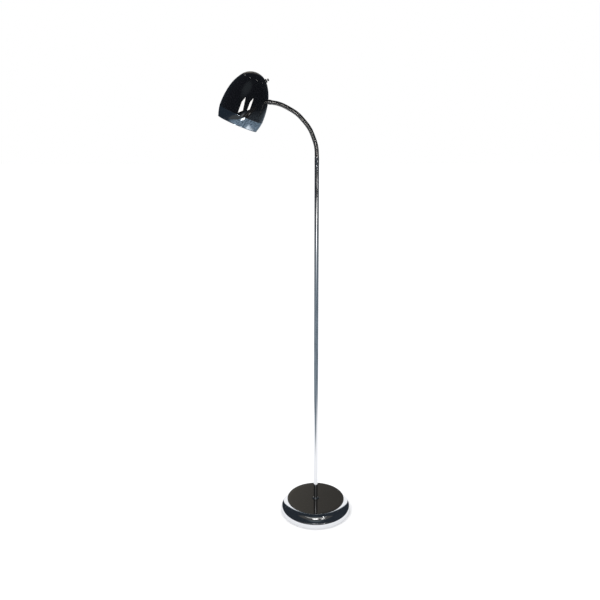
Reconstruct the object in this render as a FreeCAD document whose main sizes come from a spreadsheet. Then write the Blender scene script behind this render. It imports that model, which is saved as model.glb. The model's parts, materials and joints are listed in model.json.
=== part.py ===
import FreeCAD, Part
import math
import os
import Sketcher

# Gooseneck reading floor lamp, in millimetres, +Z up.
# The origin is the centre of the base's underside, on the pole's axis. The neck bends towards -X.
# The stand's pieces are drawn where they stand. The neck's links are drawn upright and then leaned
# over one after another, and the head's pieces are drawn about the shade's own axis, mouth at 0.

V = FreeCAD.Vector
UP = V(0, 0, 1)
LEAN_AXIS = V(0, -1, 0)
TILT_AXIS = V(0, 1, 0)

SIZES = {
    # foot
    "base_radius": 125.0,
    "base_height": 46.4,
    "pad_height": 2.0,
    "pad_radius": 10.0,
    "pad_inset": 21.0,
    "sheet_wall": 1.2,
    "rim_height": 16.5,
    "rim_lean": 2.1,
    "rim_shoulder_radius": 10.6,
    "wall_foot_inset": 4.4,
    "wall_foot_rise": 4.9,
    "wall_hollow_radius": 120.0,
    "bead_width": 1.8,
    "bead_rise": 0.8,
    "bead_edge_radius": 1.12,
    "disc_inset": 25.4,
    "disc_thickness": 3.0,
    "disc_edge": 0.6,
    "plate_thickness": 1.5,
    "weight_inset": 17.0,
    "weight_thickness": 15.0,
    "weight_edge": 3.0,
    "weight_hub_radius": 24.0,
    "weight_hub_slope": 4.0,
    "cord_channel_width": 10.2,
    "weight_pocket_radius": 15.0,
    "weight_pocket_depth": 11.0,
    "plate_screw_radius": 2.0,
    "plate_screw_circle_radius": 70.0,
    "plate_screw_length": 9.0,
    "plate_screw_head_radius": 3.8,
    "plate_screw_head_height": 1.4,
    "cord_hole_height": 10.0,
    "cord_radius": 3.1,
    "bushing_wall": 1.3,
    "bushing_flange_radius": 6.2,
    "bushing_flange_thickness": 1.6,
    "bushing_edge": 0.6,
    "bushing_nut_across_flats": 10.4,
    "bushing_nut_thickness": 3.0,
    "bushing_overhang": 1.0,
    # pole
    "pole_radius": 7.0,
    "pole_wall": 1.1,
    "pole_seam_height": 640.0,
    "pole_top_height": 1229.0,
    "coupler_length": 70.0,
    "coupler_bore_radius": 4.2,
    "collar_radius": 11.5,
    "collar_height": 4.5,
    "collar_side": 1.8,
    "collar_lip": 0.8,
    "collar_floor": 1.2,
    "foot_insert_length": 30.0,
    "nipple_radius": 4.95,
    "nipple_bore_radius": 3.5,
    "nipple_overhang": 2.0,
    "nut_across_flats": 17.0,
    "nut_thickness": 5.0,
    "washer_radius": 12.0,
    "washer_thickness": 1.5,
    # gooseneck
    "ferrule_length": 28.0,
    "ferrule_spigot": 16.0,
    "ferrule_groove": 0.5,
    "link_pitch": 19.6,
    "rib_radius": 6.75,
    "valley_radius": 5.95,
    "neck_bore_radius": 3.0,
    "link_gap": 2.2,
    "nose_tip_radius": 3.9,
    "nose_height": 2.6,
    "recess_depth": 4.6,
    "bend": 10.2,
    "neck_collar_radius": 7.3,
    "neck_collar_length": 9.0,
    "neck_collar_edge": 0.6,
    "nose_clearance": 0.5,
    "neck_stud_step": 0.4,
    "neck_stud_overhang": 1.0,
    "neck_nut_across_flats": 14.0,
    "neck_nut_thickness": 3.5,
    "neck_washer_radius": 7.2,
    "neck_washer_thickness": 0.8,
    # shade
    "dome_radius": 70.3,
    "dome_wall": 0.9,
    "dome_widest_height": 38.8,
    "side_radius": 240.0,
    "side_angle": 13.1,
    "shoulder_radius": 131.0,
    "crown_angle": 36.8,
    "crease_height": 31.0,
    "mouth_radius": 62.9,
    "band_bulge_radius": 120.0,
    "band_wall": 0.9,
    "band_bead_radius": 1.1,
    "band_tongue": 7.0,
    "band_step": 0.3,
    "band_lip": 0.2,
    "band_roll": 0.5,
    "hole_depth": 12.0,
    "seat_curve_radius": 65.3,
    "neck_entry_angle": 15.0,
    "vent_angle": 36.8,
    "vent_radius": 2.4,
    "switch_angle": 50.0,
    # lampholder and bulb
    "bracket_width": 16.0,
    "bracket_thickness": 1.6,
    "bracket_tab_length": 9.0,
    "bracket_arm_rise": 8.6,
    "bracket_ring_radius": 25.0,
    "bracket_lap": 3.0,
    "holder_radius": 19.5,
    "holder_wall": 2.4,
    "holder_drop": 18.0,
    "holder_rise": 28.0,
    "holder_crown_radius": 11.0,
    "holder_side_height": 12.0,
    "holder_spigot": 6.0,
    "holder_edge": 1.0,
    "clamp_ring_radius": 23.0,
    "clamp_ring_height": 7.0,
    "screw_shell_wall": 0.5,
    "screw_shell_inset": 2.0,
    "cap_radius": 13.2,
    "cap_wall": 0.6,
    "cap_length": 24.0,
    "cap_inset": 4.0,
    "cap_shoulder": 4.0,
    "glass_wall": 1.0,
    "glass_in_cap": 4.0,
    "bulb_length": 72.0,
    "bulb_radius": 30.0,
    "bulb_shoulder_radius": 24.0,
    "bulb_shoulder_height": 20.0,
    "bulb_side_arc": 34.5,
    "bulb_neck_arc": 45.0,
    "contact_radius": 4.5,
    "contact_height": 1.6,
    "contact_post_radius": 2.0,
    "contact_plate_thickness": 1.2,
    # switch
    "switch_body_radius": 7.5,
    "switch_body_length": 13.0,
    "switch_bushing_radius": 4.6,
    "switch_bushing_overhang": 0.8,
    "switch_seat": 0.7,
    "switch_pit": 5.0,
    "switch_nut_radius": 6.2,
    "switch_nut_thickness": 2.4,
    "stem_radius": 1.6,
    "stem_length": 4.8,
    "key_length": 5.4,
    "key_width": 8.0,
    "key_root_width": 4.8,
    "key_root_height": 2.5,
    "key_corner": 2.0,
    "key_socket": 2.0,
    "key_thickness": 3.2,
    # clearances
    "fit_gap": 0.3,
    "seat_gap": 0.2,
    "thread_gap": 0.05,
    "running_gap": 0.06,
}

PAD_COUNT = 4
SCREW_COUNT = 3
LINK_COUNT = 12
RIBS_PER_LINK = 5
VENT_COUNT = 12
# the joints that bend the neck sideways; the others bend it in the plane of the photographed arc
SIDEWAYS_JOINTS = (1, 4, 7, 10)


class Size:
    """A length or angle: its value, and the sheet expression that it is bound with."""

    def __init__(self, text, value):
        self.text = text
        self.value = value

    def __add__(self, other):
        other = as_size(other)
        return Size("(" + self.text + " + " + other.text + ")", self.value + other.value)

    def __sub__(self, other):
        other = as_size(other)
        return Size("(" + self.text + " - " + other.text + ")", self.value - other.value)

    def __mul__(self, other):
        other = as_size(other)
        return Size("(" + self.text + " * " + other.text + ")", self.value * other.value)

    def __truediv__(self, other):
        other = as_size(other)
        return Size("(" + self.text + " / " + other.text + ")", self.value / other.value)

    def __neg__(self):
        return as_size(0) - self

    def __radd__(self, other):
        return as_size(other) + self

    def __rsub__(self, other):
        return as_size(other) - self

    def __rmul__(self, other):
        return as_size(other) * self


def as_size(number):
    if isinstance(number, Size):
        return number
    return Size(repr(float(number)), float(number))


def sine(angle):
    return Size("sin(" + angle.text + ")", math.sin(math.radians(angle.value)))


def cosine(angle):
    return Size("cos(" + angle.text + ")", math.cos(math.radians(angle.value)))


def slope_angle(rise, run):
    return Size("(atan(" + rise.text + " / " + run.text + ") / 1 deg)",
                math.degrees(math.atan(rise.value / run.value)))


class Sheet:
    """The document's spreadsheet, one row for each size; sheet.name gives its Size."""

    def __init__(self, doc, sizes):
        self.cells = doc.addObject("Spreadsheet::Sheet", "Sizes")
        for row, (name, value) in enumerate(sizes.items(), 1):
            self.cells.set("A" + str(row), name)
            self.cells.set("B" + str(row), str(value))
            self.cells.setAlias("B" + str(row), name)
        doc.recompute()

    def __getattr__(self, name):
        return Size("Sizes." + name, float(self.cells.get(name)))


doc = FreeCAD.newDocument("ReadingLamp")
s = Sheet(doc, SIZES)
parts = []


# ---------------------------------------------------------------- helpers

def bind(thing, prop, size):
    size = as_size(size)
    thing.setExpression(prop, size.text)


def origin_feature(body, role):
    for feature in body.Origin.OriginFeatures:
        if feature.Role == role:
            return feature
    raise ValueError(role)


def new_body(label):
    body = doc.addObject("PartDesign::Body", label)
    body.Label = label
    parts.append(body)
    return body


def new_sketch(body, name, plane="XZ_Plane", height=None):
    sketch = body.newObject("Sketcher::SketchObject", name)
    sketch.AttachmentSupport = (origin_feature(body, plane), [""])
    sketch.MapMode = "FlatFace"
    if height is not None:
        bind(sketch, "AttachmentOffset.Base.z", height)
    return sketch


def pin_point(sketch, edge, end, x, y):
    """Holds one end of a sketch edge at the named sizes x and y."""
    for kind, size, axis in (("DistanceX", as_size(x), -2), ("DistanceY", as_size(y), -1)):
        if size.value == 0.0:
            sketch.addConstraint(Sketcher.Constraint("PointOnObject", edge, end, axis))
            continue
        index = sketch.addConstraint(Sketcher.Constraint(kind, -1, 1, edge, end, size.value))
        sketch.setExpression("Constraints[" + str(index) + "]", size.text)


class Arc:
    """A corner of an outline that is reached by an arc; side is +1 where it bulges to the right."""

    def __init__(self, x, y, radius, side):
        self.point = (x, y)
        self.radius = as_size(radius)
        self.side = side


def arc_middle(start, end, radius, side):
    chord = end - start
    half = chord.Length / 2
    rise = radius - math.sqrt(max(radius * radius - half * half, 0.0))
    right = V(chord.y, -chord.x, 0).normalize()
    return (start + end) * 0.5 + right * (side * rise)


def draw_outline(sketch, corners):
    """Draws a closed outline, every corner and arc of it bound to the sheet."""
    places = [c.point if isinstance(c, Arc) else c for c in corners]
    flat = [V(as_size(x).value, as_size(y).value, 0) for x, y in places]
    ends = []
    for i, corner in enumerate(corners):
        start = flat[i - 1]
        end = flat[i]
        if isinstance(corner, Arc):
            middle = arc_middle(start, end, corner.radius.value, corner.side)
            edge = sketch.addGeometry(Part.Arc(start, middle, end), False)
            first = sketch.getPoint(edge, 1)
            forward = (first - start).Length < (first - end).Length
            ends.append((edge, 1 if forward else 2, 2 if forward else 1))
            index = sketch.addConstraint(Sketcher.Constraint("Radius", edge, corner.radius.value))
            sketch.setExpression("Constraints[" + str(index) + "]", corner.radius.text)
        else:
            edge = sketch.addGeometry(Part.LineSegment(start, end), False)
            ends.append((edge, 1, 2))
    for i, (edge, _, last) in enumerate(ends):
        following = ends[(i + 1) % len(ends)]
        sketch.addConstraint(Sketcher.Constraint("Coincident", edge, last, following[0], following[1]))
        pin_point(sketch, edge, last, places[i][0], places[i][1])


def turn(body, corners, name="turned"):
    """Revolves an outline of (radius, height) corners about the body's Z axis."""
    sketch = new_sketch(body, name + "_outline")
    draw_outline(sketch, corners)
    feature = body.newObject("PartDesign::Revolution", name)
    feature.Profile = sketch
    feature.ReferenceAxis = (sketch, ["V_Axis"])
    feature.Angle = 360
    return feature


def turned(label, corners):
    body = new_body(label)
    turn(body, corners)
    return body


def tube(label, inner, outer, low, high):
    return turned(label, [(inner, low), (outer, low), (outer, high), (inner, high)])


def draw_circle(sketch, radius, x=0, y=0):
    x = as_size(x)
    y = as_size(y)
    edge = sketch.addGeometry(Part.Circle(V(x.value, y.value, 0), UP, radius.value), False)
    pin_point(sketch, edge, 3, x, y)
    index = sketch.addConstraint(Sketcher.Constraint("Radius", edge, radius.value))
    sketch.setExpression("Constraints[" + str(index) + "]", radius.text)


def pad(body, sketch, length, name="pad", both_ways=False):
    feature = body.newObject("PartDesign::Pad", name)
    feature.Profile = sketch
    bind(feature, "Length", length)
    feature.Midplane = both_ways
    return feature


def rod(body, name, kind, radius, length, x, z, tilt=0, azimuth=0.0):
    """A cylinder from (x, z) on the azimuth's radius, leaned outwards from +Z by tilt."""
    x = as_size(x)
    tilt = as_size(tilt)
    feature = body.newObject("PartDesign::" + kind + "Cylinder", name)
    feature.AttachmentSupport = (origin_feature(body, "XY_Plane"), [""])
    feature.MapMode = "FlatFace"
    spin = FreeCAD.Rotation(UP, azimuth) * FreeCAD.Rotation(TILT_AXIS, tilt.value)
    feature.AttachmentOffset = FreeCAD.Placement(V(0, 0, 0), spin)
    bind(feature, "AttachmentOffset.Base.x", x * math.cos(math.radians(azimuth)))
    bind(feature, "AttachmentOffset.Base.y", x * math.sin(math.radians(azimuth)))
    bind(feature, "AttachmentOffset.Base.z", z)
    bind(feature, "Radius", radius)
    bind(feature, "Height", length)
    return feature


def around(body, feature, count, name="ring_of"):
    """Repeats a feature round the body's Z axis."""
    pattern = body.newObject("PartDesign::PolarPattern", name)
    pattern.Originals = [feature]
    pattern.Axis = (origin_feature(body, "Z_Axis"), [""])
    pattern.Angle = 360
    pattern.Occurrences = count
    body.Tip = pattern
    return pattern


def hex_nut(label, across_flats, hole_radius, low, thickness):
    """A hexagon nut standing on the height low."""
    body = new_body(label)
    sketch = new_sketch(body, "hexagon", "XY_Plane", low)
    corner_radius = across_flats / (2 * cosine(as_size(30)))
    corners = []
    for k in range(6):
        angle = as_size(60 * k)
        corners.append((corner_radius * cosine(angle), corner_radius * sine(angle)))
    draw_outline(sketch, corners)
    draw_circle(sketch, hole_radius)
    pad(body, sketch, thickness)
    return body


def place(body, x, z, axis, angle, y=0):
    """Leans a finished body about its own origin and moves it to x, y, z in the lamp's frame."""
    body.Placement = FreeCAD.Placement(V(0, 0, 0), FreeCAD.Rotation(axis, as_size(angle).value))
    bind(body, "Placement.Base.x", x)
    bind(body, "Placement.Base.y", y)
    bind(body, "Placement.Base.z", z)
    bind(body, "Placement.Rotation.Angle", angle)


# ---------------------------------------------------------------- foot

plate_low = s.pad_height
plate_top = plate_low + s.plate_thickness
disc_low = s.base_height - s.disc_thickness
disc_radius = s.base_radius - s.disc_inset
weight_radius = s.base_radius - s.weight_inset
wall_foot_radius = s.base_radius - s.wall_foot_inset
wall_foot_height = s.rim_height + s.wall_foot_rise
seat_radius = disc_radius + s.fit_gap
rim_radius = s.base_radius - s.rim_lean
bead_foot_radius = seat_radius + s.bead_width
cover_inside_top = disc_low - s.sheet_wall
hole_radius = s.nipple_radius + s.thread_gap + s.fit_gap
rim_slope = slope_angle(s.rim_lean, s.rim_height - plate_low)
rim_at_cord = s.base_radius - s.rim_lean * (s.cord_hole_height - plate_low) / (s.rim_height - plate_low)


def make_foot_pads():
    body = new_body("foot_pads")
    circle_radius = s.base_radius - s.pad_inset
    blank = rod(body, "pad", "Additive", s.pad_radius, s.pad_height, circle_radius, 0, 0, 45.0)
    around(body, blank, PAD_COUNT)


def make_base_plate():
    body = new_body("base_plate")
    radius = s.base_radius - s.sheet_wall - s.fit_gap - s.rim_lean * s.plate_thickness / s.rim_height
    turn(body, [(s.weight_pocket_radius, plate_low), (radius, plate_low), (radius, plate_top),
                (s.weight_pocket_radius, plate_top)])
    hole = rod(body, "screw_hole", "Subtractive", s.plate_screw_radius + s.fit_gap,
               s.plate_thickness, s.plate_screw_circle_radius, plate_low)
    around(body, hole, SCREW_COUNT)


def make_plate_screws():
    """Pan-head screws that hold the plate up to the weight, one solid each."""
    body = new_body("plate_screws")
    head_low = plate_low - s.plate_screw_head_height
    head = rod(body, "head", "Additive", s.plate_screw_head_radius, s.plate_screw_head_height,
               s.plate_screw_circle_radius, head_low)
    shank = rod(body, "shank", "Additive", s.plate_screw_radius, s.plate_screw_length,
                s.plate_screw_circle_radius, plate_low)
    pattern = around(body, head, SCREW_COUNT)
    pattern.Originals = [head, shank]


def make_base_weight():
    """Cast iron disc with a hub that carries the pole, and a pocket below for the nut."""
    body = new_body("base_weight")
    top = plate_top + s.weight_thickness
    pocket_top = plate_top + s.weight_pocket_depth
    turn(body, [(s.weight_pocket_radius, plate_top), (weight_radius, plate_top),
                (weight_radius, top - s.weight_edge), (weight_radius - s.weight_edge, top),
                (s.weight_hub_radius + s.weight_hub_slope, top),
                (s.weight_hub_radius, cover_inside_top),
                (hole_radius, cover_inside_top), (hole_radius, pocket_top),
                (s.weight_pocket_radius, pocket_top)])
    hole = rod(body, "screw_hole", "Subtractive", s.plate_screw_radius + s.thread_gap,
               s.plate_screw_length, s.plate_screw_circle_radius, plate_top)
    around(body, hole, SCREW_COUNT)
    channel = body.newObject("PartDesign::SubtractiveBox", "cord_channel")
    channel.AttachmentSupport = (origin_feature(body, "XY_Plane"), [""])
    channel.MapMode = "FlatFace"
    bind(channel, "AttachmentOffset.Base.x", -(s.cord_channel_width / 2))
    bind(channel, "AttachmentOffset.Base.z", plate_top)
    bind(channel, "Length", s.cord_channel_width)
    bind(channel, "Width", s.base_radius)
    bind(channel, "Height", s.weight_pocket_depth)
    doc.recompute()
    body.Tip = channel


def make_base_cover():
    """Spun shell: leaning rim, rounded shoulder, hollowed wall, bead and the pan for the disc."""
    wall = s.sheet_wall
    body = new_body("base_cover")
    turn(body, [(s.base_radius - wall, plate_low), (s.base_radius, plate_low),
                (rim_radius, s.rim_height),
                Arc(wall_foot_radius, wall_foot_height, s.rim_shoulder_radius, 1),
                Arc(bead_foot_radius, s.base_height - s.bead_rise, s.wall_hollow_radius, -1),
                Arc(seat_radius, s.base_height, s.bead_edge_radius, 1),
                (seat_radius, disc_low), (hole_radius, disc_low),
                (hole_radius, cover_inside_top), (seat_radius - s.fit_gap, cover_inside_top),
                Arc(wall_foot_radius - wall, wall_foot_height - wall / 2, s.wall_hollow_radius, 1),
                Arc(rim_radius - wall, s.rim_height, s.rim_shoulder_radius - wall, -1)])
    doc.recompute()
    # the hole for the cord's bushing is square to the leaning rim, from inside the rim outwards
    depth = s.bushing_flange_radius
    hole = rod(body, "cord_hole", "Subtractive", s.cord_radius + s.bushing_wall + s.thread_gap,
               2 * depth, rim_at_cord - depth * cosine(rim_slope),
               s.cord_hole_height - depth * sine(rim_slope), 90 - rim_slope, 90.0)
    body.Tip = hole


def make_base_disc():
    edge = s.disc_edge
    turned("base_disc", [(hole_radius, disc_low), (disc_radius, disc_low),
                         (disc_radius, s.base_height - edge),
                         (disc_radius - edge, s.base_height), (hole_radius, s.base_height)])


def make_cord_bushing():
    """Screwed bushing that lines the cord hole in the rear of the rim, and its ring nut inside."""
    barrel = s.cord_radius + s.bushing_wall
    flange_foot = s.thread_gap
    flange_top = flange_foot + s.bushing_flange_thickness
    inside = -(s.sheet_wall + s.fit_gap)
    end = inside - s.bushing_nut_thickness - s.bushing_overhang
    bushing = turned("cord_bushing", [
        (s.cord_radius, end), (barrel, end), (barrel, flange_foot),
        (s.bushing_flange_radius, flange_foot),
        (s.bushing_flange_radius - s.bushing_edge, flange_top), (s.cord_radius, flange_top)])
    nut = hex_nut("cord_bushing_nut", s.bushing_nut_across_flats, barrel + s.thread_gap,
                  inside - s.bushing_nut_thickness, s.bushing_nut_thickness)
    for body in (bushing, nut):
        place(body, 0, s.cord_hole_height, V(-1, 0, 0), 90 - rim_slope, rim_at_cord)


# ---------------------------------------------------------------- pole

pole_bore = s.pole_radius - s.pole_wall
pole_foot = s.base_height + s.collar_floor
insert_top = pole_foot + s.foot_insert_length
washer_top = plate_top + s.weight_pocket_depth
nut_top = washer_top - s.washer_thickness
nut_low = nut_top - s.nut_thickness


def make_foot_collar():
    inner = s.pole_radius + s.seat_gap
    turned("foot_collar", [
        (hole_radius, s.base_height), (s.collar_radius, s.base_height),
        (s.collar_radius, s.base_height + s.collar_side),
        (inner + s.collar_lip, s.base_height + s.collar_height),
        (inner, s.base_height + s.collar_height), (inner, pole_foot), (hole_radius, pole_foot)])


def make_pole_fixing():
    """Threaded hollow stud, washer and nut that clamp the pole, disc, cover and weight together."""
    tube("pole_stud", s.nipple_bore_radius, s.nipple_radius, nut_low - s.nipple_overhang, insert_top)
    tube("pole_washer", s.nipple_radius + s.fit_gap, s.washer_radius, nut_top, washer_top)
    hex_nut("pole_nut", s.nut_across_flats, s.nipple_radius + s.thread_gap, nut_low, s.nut_thickness)
    tube("pole_foot_insert", s.nipple_radius + s.thread_gap, pole_bore, pole_foot, insert_top)


def make_pole():
    tube("pole_lower", pole_bore, s.pole_radius, pole_foot, s.pole_seam_height)
    tube("pole_upper", pole_bore, s.pole_radius, s.pole_seam_height, s.pole_top_height)
    half = s.coupler_length / 2
    tube("pole_coupler", s.coupler_bore_radius, pole_bore, s.pole_seam_height - half,
         s.pole_seam_height + half)


# ---------------------------------------------------------------- gooseneck

neck_root = s.pole_top_height + s.ferrule_length + s.link_gap / 2


def joint_angle(count):
    """Lean of the neck after its first count joints; sideways ones add nothing at rest."""
    bends = len([k for k in range(1, count + 1) if k not in SIDEWAYS_JOINTS])
    return s.bend * bends


def joint_place(count):
    """Centre of the neck joint number count, counted from 1 at the pole's end."""
    x = as_size(0)
    z = neck_root
    for k in range(1, count):
        angle = joint_angle(k)
        if angle.value == 0.0:
            z = z + s.link_pitch
            continue
        x = x - s.link_pitch * sine(angle)
        z = z + s.link_pitch * cosine(angle)
    return x, z


def nose(height):
    """Conical nose round the joint centre at height, down to the bore."""
    return [(s.valley_radius, height - s.link_gap / 2), (s.nose_tip_radius, height + s.nose_height),
            (s.neck_bore_radius, height + s.nose_height)]


def make_ferrule():
    """Fitting in the pole's top; it ends in the first nose of the neck."""
    low = s.pole_top_height
    high = low + s.ferrule_length
    groove = s.ferrule_groove
    turned("neck_ferrule", [
        (s.neck_bore_radius, low - s.ferrule_spigot), (pole_bore, low - s.ferrule_spigot),
        (pole_bore, low), (s.pole_radius - groove, low), (s.pole_radius - groove, low + groove),
        (s.pole_radius, low + groove * 2), (s.pole_radius, high - groove * 3),
        (s.pole_radius - groove, high - groove)] + nose(neck_root))


def make_link(number):
    """One ribbed link: a row of V ribs between its two joints, a nose above and a recess below."""
    low = s.link_gap / 2
    rib = (s.link_pitch - s.link_gap) / RIBS_PER_LINK
    corners = [(s.neck_bore_radius, s.recess_depth), (s.valley_radius, low)]
    for k in range(RIBS_PER_LINK):
        corners.append((s.rib_radius, low + rib * (k + 0.5)))
        if k < RIBS_PER_LINK - 1:
            corners.append((s.valley_radius, low + rib * (k + 1)))
    corners += nose(s.link_pitch)
    body = turned("neck_link_%02d" % number, corners)
    x, z = joint_place(number)
    angle = joint_angle(number)
    if angle.value == 0.0:
        bind(body, "Placement.Base.z", z)
    else:
        place(body, x, z, LEAN_AXIS, angle)


# ---------------------------------------------------------------- shade

# The dome is three arcs that run into each other: side, shoulder and crown.
side_centre = (s.dome_radius - s.side_radius, s.dome_widest_height)


def on_arc(centre, radius, angle):
    return centre[0] + radius * cosine(angle), centre[1] + radius * sine(angle)


side_end = on_arc(side_centre, s.side_radius, s.side_angle)
shoulder_centre = on_arc(side_end, -s.shoulder_radius, s.side_angle)
shoulder_end = on_arc(shoulder_centre, s.shoulder_radius, s.crown_angle)
crown_radius = shoulder_end[0] / cosine(s.crown_angle)
crown_centre_height = shoulder_end[1] - crown_radius * sine(s.crown_angle)


def dome_radius_at(height):
    """Outer radius of the side arc near its widest place."""
    rise = height - s.dome_widest_height
    return s.dome_radius - rise * rise / (2 * s.side_radius)


crease_radius = dome_radius_at(s.crease_height)
entry = on_arc(shoulder_centre, s.shoulder_radius, s.neck_entry_angle)
switch_foot = (crown_radius * cosine(s.switch_angle),
               crown_centre_height + crown_radius * sine(s.switch_angle))
neck_end_angle = joint_angle(LINK_COUNT)
shade_tilt = s.neck_entry_angle + 90 - neck_end_angle

# the skin of the shade where the neck meets it, in the lamp's frame
last_x, last_z = joint_place(LINK_COUNT)
reach = s.link_pitch - s.link_gap / 2 + s.neck_collar_length + s.fit_gap
skin_x = last_x - reach * sine(neck_end_angle)
skin_z = last_z + reach * cosine(neck_end_angle)
mouth_x = skin_x - entry[0] * cosine(shade_tilt) - entry[1] * sine(shade_tilt)
mouth_z = skin_z + entry[0] * sine(shade_tilt) - entry[1] * cosine(shade_tilt)


def hang(body):
    """Puts a piece that was drawn about the shade's axis into the tilted shade."""
    place(body, mouth_x, mouth_z, TILT_AXIS, shade_tilt)
    return body


def along_neck(body):
    """Puts a piece that was drawn on the neck's axis, with 0 at the shade's skin, in its place."""
    place(body, skin_x, skin_z, LEAN_AXIS, neck_end_angle)
    return body


def dome_corner(offset):
    """The corners where the three arcs meet, offset inwards, from the crease up."""
    bottom = (crease_radius - offset, s.crease_height)
    first = on_arc(side_centre, s.side_radius - offset, s.side_angle)
    second = on_arc(shoulder_centre, s.shoulder_radius - offset, s.crown_angle)
    top = (as_size(0), crown_centre_height + crown_radius - offset)
    return bottom, first, second, top


def make_shade_shell():
    """Spun dome with its ring of vents, the neck's hole and the switch's hole."""
    body = new_body("shade_shell")
    bottom, first, second, top = dome_corner(as_size(0))
    bottom_in, first_in, second_in, top_in = dome_corner(s.dome_wall)
    turn(body, [
        bottom, Arc(first[0], first[1], s.side_radius, 1),
        Arc(second[0], second[1], s.shoulder_radius, 1), Arc(top[0], top[1], crown_radius, 1),
        top_in, Arc(second_in[0], second_in[1], crown_radius - s.dome_wall, -1),
        Arc(first_in[0], first_in[1], s.shoulder_radius - s.dome_wall, -1),
        Arc(bottom_in[0], bottom_in[1], s.side_radius - s.dome_wall, -1)])
    doc.recompute()
    start = crown_radius * 0.8
    vent = rod(body, "vent", "Subtractive", s.vent_radius, crown_radius * 0.3,
               start * cosine(s.vent_angle), crown_centre_height + start * sine(s.vent_angle),
               90 - s.vent_angle, 180.0 / VENT_COUNT)
    around(body, vent, VENT_COUNT, "vents")
    deep = s.hole_depth
    rod(body, "neck_hole", "Subtractive", s.nipple_radius + s.fit_gap, deep * 2,
        entry[0] - deep * cosine(s.neck_entry_angle), entry[1] - deep * sine(s.neck_entry_angle),
        90 - s.neck_entry_angle)
    hole = rod(body, "switch_hole", "Subtractive", s.switch_bushing_radius + s.fit_gap,
               deep * 2, switch_foot[0] - deep * cosine(s.switch_angle),
               switch_foot[1] - deep * sine(s.switch_angle), 90 - s.switch_angle)
    body.Tip = hole
    hang(body)


def make_shade_band():
    """Mouth ring of the shade: bead, gently bulging wall, and a tongue tucked into the dome."""
    shoulder_height = s.crease_height - s.seat_gap
    outer = crease_radius - s.band_step
    tongue = crease_radius - s.dome_wall - s.seat_gap
    bead = s.band_bead_radius
    foot = s.mouth_radius - s.band_wall
    roll = s.band_roll
    lip = s.band_lip
    hang(turned("shade_band", [
        (s.mouth_radius + lip, bead * 2), Arc(outer, shoulder_height, s.band_bulge_radius, 1),
        (tongue, shoulder_height), (tongue, s.crease_height + s.band_tongue),
        (tongue - s.band_wall, s.crease_height + s.band_tongue),
        (tongue - s.band_wall, shoulder_height - roll * 2),
        Arc(foot + lip, bead * 2, s.band_bulge_radius, -1), (foot - roll, bead),
        (foot - roll, 0), (s.mouth_radius - lip, 0), (s.mouth_radius + roll, bead)]))


# ---------------------------------------------------------------- neck's end

def seat_drop(radius):
    """How far the dome's inner skin falls away under a flat washer of this radius."""
    return radius * radius / (2 * s.seat_curve_radius)


washer_low = s.dome_wall + seat_drop(s.neck_washer_radius)
tab_low = washer_low + s.neck_washer_thickness
neck_nut_low = tab_low + s.bracket_thickness


def make_neck_end():
    """Collar over the last link's nose, and the hollow stud that goes through the shade's wall."""
    low = -(s.neck_collar_length + s.fit_gap)
    deep = low + s.nose_height + s.link_gap / 2
    bore = s.nipple_radius + s.thread_gap
    edge = s.neck_collar_edge
    step = s.neck_stud_step
    side = s.neck_collar_radius
    turned_collar = turned("neck_collar", [
        (s.valley_radius, low), (side - edge, low), (side, low + edge),
        (side, -s.fit_gap - edge), (side - edge, -s.fit_gap),
        (bore, -s.fit_gap), (bore, deep + step), (s.nose_tip_radius + s.nose_clearance, deep)])
    along_neck(turned_collar)
    along_neck(tube("neck_stud", s.neck_bore_radius + step, s.nipple_radius,
                    deep + step, neck_nut_low + s.neck_nut_thickness + s.neck_stud_overhang))
    along_neck(tube("neck_washer", s.nipple_radius + s.fit_gap, s.neck_washer_radius, washer_low, tab_low))
    along_neck(hex_nut("neck_nut", s.neck_nut_across_flats, bore, neck_nut_low, s.neck_nut_thickness))


# ---------------------------------------------------------------- lampholder

holder_inner = s.holder_radius - s.holder_wall
# the bracket's arm rises from the neck's entry, and the holder and bulb hang from its ring
ring_height = entry[1] + s.bracket_arm_rise
ring_top = ring_height + s.bracket_thickness
holder_mouth = ring_height - s.holder_drop
shell_radius = s.cap_radius + s.fit_gap
cap_low = holder_mouth + s.cap_inset
cap_top = cap_low + s.cap_length
shell_top = cap_top + s.holder_edge
contact_low = cap_top + s.contact_height


def make_bracket():
    """Steel strap: a tab under the neck's nut, bent over into an arm with a ring for the holder."""
    body = new_body("holder_bracket")
    lean = s.neck_entry_angle
    out_x, out_z = on_arc(entry, -tab_low, lean)
    in_x, in_z = on_arc(entry, -neck_nut_low, lean)
    sketch = new_sketch(body, "strap_outline")
    down = s.bracket_tab_length
    # how far up the leaning tab its two faces meet the arm's top and underside
    top_run = (ring_top - out_z) / cosine(lean)
    low_run = (ring_height - in_z) / cosine(lean)
    arm_end = s.bracket_ring_radius - s.bracket_lap
    draw_outline(sketch, [
        (out_x + down * sine(lean), out_z - down * cosine(lean)),
        (out_x - top_run * sine(lean), ring_top), (arm_end, ring_top),
        (arm_end, ring_height), (in_x - low_run * sine(lean), ring_height),
        (in_x + down * sine(lean), in_z - down * cosine(lean))])
    pad(body, sketch, s.bracket_width, "strap", True)
    ring = new_sketch(body, "ring_outline", "XY_Plane", ring_height)
    draw_circle(ring, s.bracket_ring_radius)
    pad(body, ring, s.bracket_thickness, "ring")
    doc.recompute()
    rod(body, "holder_hole", "Subtractive", holder_inner + s.fit_gap, s.bracket_thickness * 3,
        0, ring_height - s.bracket_thickness)
    depth = neck_nut_low + s.bracket_thickness
    hole = rod(body, "neck_hole", "Subtractive", s.nipple_radius + s.fit_gap, depth,
               entry[0] - depth * cosine(lean), entry[1] - depth * sine(lean), 90 - lean)
    body.Tip = hole
    hang(body)


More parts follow.
